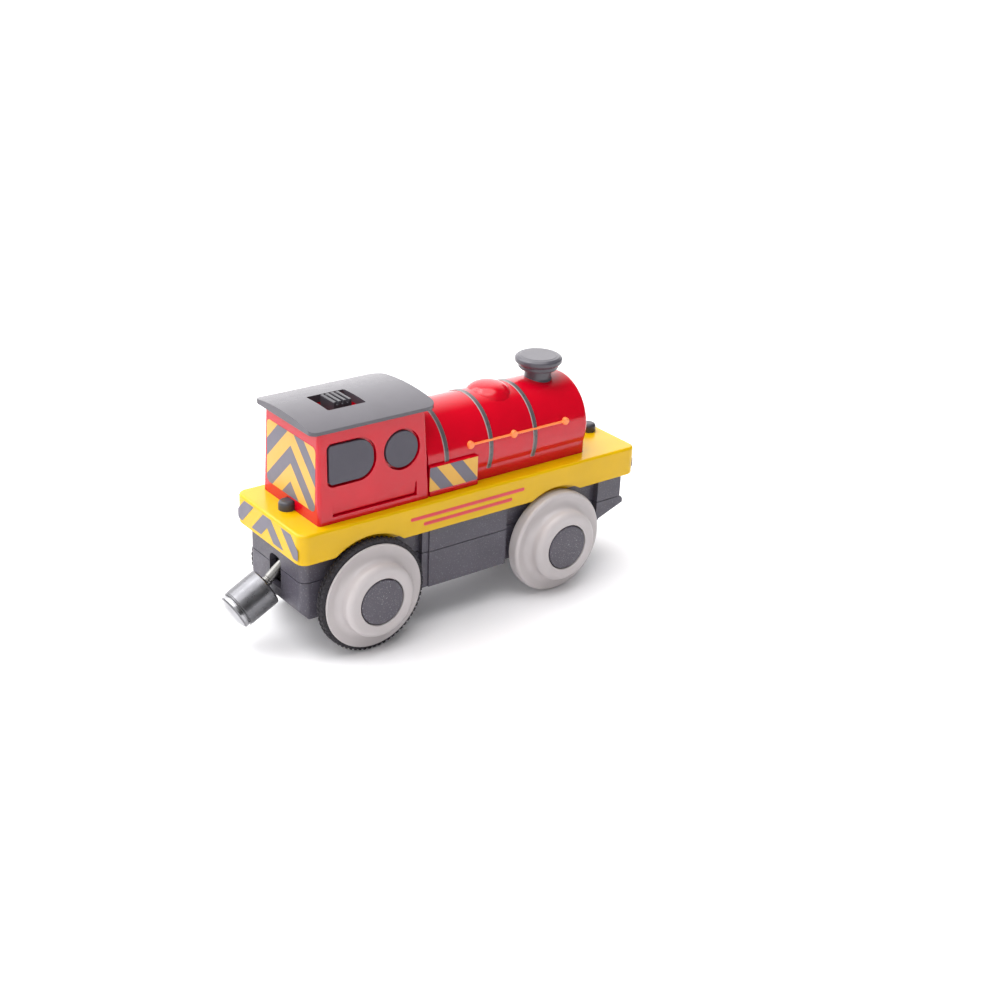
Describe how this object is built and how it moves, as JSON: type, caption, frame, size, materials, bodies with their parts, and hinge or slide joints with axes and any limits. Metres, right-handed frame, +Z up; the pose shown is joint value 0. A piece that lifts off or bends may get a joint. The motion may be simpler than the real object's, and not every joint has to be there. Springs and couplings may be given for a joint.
{
  "type": "toy locomotive",
  "caption": "Battery toy tank locomotive for wooden railway track: tapered cab, round boiler, chimney, flat deck, dark chassis, hubbed wheels and a hanging magnet coupling.",
  "frame": {"origin": "on the ground under the middle of the overall box", "axes": "+X forwards towards the chimney, +Y to the left, +Z up"},
  "size_m": [0.1056, 0.039, 0.0553],
  "materials": {
    "yellow_plastic": "glossy yellow moulded plastic",
    "red_plastic": "glossy red moulded plastic",
    "grey_plastic": "satin dark grey moulded plastic",
    "chassis_plastic": "fine-textured dark grey moulded plastic",
    "wheel_plastic": "satin light grey moulded plastic",
    "tyre_rubber": "matte black rubber with fine cross tread",
    "steel": "bright drawn steel",
    "barrel_metal": "dark nickel-plated steel",
    "magnet_chrome": "bright nickel plate",
    "brass": "plain brass",
    "gear_plastic": "natural white moulded plastic",
    "battery_sleeve": "printed cell sleeve",
    "circuit_board": "green laminate"
  },
  "bodies": {
    "locomotive": {"deck": "yellow_plastic", "cab_shell": "red_plastic", "roof": "grey_plastic", "boiler_shell": "red_plastic", "chimney": "grey_plastic", "rear_deck_stud": "grey_plastic", "front_deck_stud": "grey_plastic", "chassis_upper": "chassis_plastic", "chassis_lower": "chassis_plastic", "battery_cover": "chassis_plastic", "chassis_screw_1": "steel", "chassis_screw_2": "steel", "chassis_screw_3": "steel", "chassis_screw_4": "steel", "cover_screw": "steel", "battery": "battery_sleeve", "contact_positive": "brass", "contact_negative": "brass", "contact_spring": "steel", "motor": "steel", "motor_mount": "gear_plastic", "switch_body": "gear_plastic", "switch_board": "circuit_board", "rear_left_bush": "gear_plastic", "rear_right_bush": "gear_plastic", "front_left_bush": "gear_plastic", "front_right_bush": "gear_plastic"},
    "rear_wheelset": {"rear_axle": "steel", "axle_gear": "gear_plastic", "rear_left_wheel": "wheel_plastic", "rear_right_wheel": "wheel_plastic", "rear_left_tyre": "tyre_rubber", "rear_right_tyre": "tyre_rubber", "rear_left_hub_cap": "grey_plastic", "rear_right_hub_cap": "grey_plastic"},
    "front_wheelset": {"front_axle": "steel", "front_left_wheel": "wheel_plastic", "front_right_wheel": "wheel_plastic", "front_left_hub_cap": "grey_plastic", "front_right_hub_cap": "grey_plastic"},
    "idler": {"idler_shaft": "steel", "idler_gear": "gear_plastic", "worm_wheel": "gear_plastic"},
    "worm_shaft": {"motor_worm": "brass"},
    "knob": {"switch_knob": "chassis_plastic"},
    "yoke": {"coupling_yoke": "steel"},
    "arm": {"coupling_shaft": "steel"},
    "coupling_head": {"magnet_barrel": "barrel_metal", "magnet": "magnet_chrome"}
  },
  "joints": [
    {"name": "rear_axle_spin", "type": "hinge", "parent": "locomotive", "child": "rear_wheelset", "pos_m": [-0.02459, 0, 0.0134], "axis": [0, 1, 0], "continuous": true},
    {"name": "front_axle_spin", "type": "hinge", "parent": "locomotive", "child": "front_wheelset", "pos_m": [0.02791, 0, 0.0127], "axis": [0, 1, 0], "continuous": true},
    {"name": "idler_spin", "type": "hinge", "parent": "locomotive", "child": "idler", "pos_m": [-0.02709, 0, 0.02079], "axis": [0, 1, 0], "continuous": true},
    {"name": "worm_spin", "type": "hinge", "parent": "locomotive", "child": "worm_shaft", "pos_m": [-0.02709, 0, 0.02719], "axis": [1, 0, 0], "continuous": true},
    {"name": "switch_slide", "type": "slide", "parent": "locomotive", "child": "knob", "axis": [1, 0, 0], "range_m": [-0.0018, 0.0018]},
    {"name": "coupling_swing", "type": "hinge", "parent": "locomotive", "child": "yoke", "pos_m": [-0.03769, 0, 0.0194], "axis": [0, 0, 1], "range_deg": [-14, 14]},
    {"name": "coupling_lift", "type": "hinge", "parent": "yoke", "child": "arm", "pos_m": [-0.03769, 0, 0.0194], "axis": [0, 1, 0], "range_deg": [0, 40.7]},
    {"name": "head_tilt", "type": "hinge", "parent": "arm", "child": "coupling_head", "pos_m": [-0.0455, 0, 0.01268], "axis": [0, 1, 0], "range_deg": [0, 15]}
  ],
  "couplings": [
    {"joint": "idler_spin", "follows": "rear_axle_spin", "ratio": -0.44444},
    {"joint": "worm_spin", "follows": "rear_axle_spin", "ratio": 10.667}
  ]
}
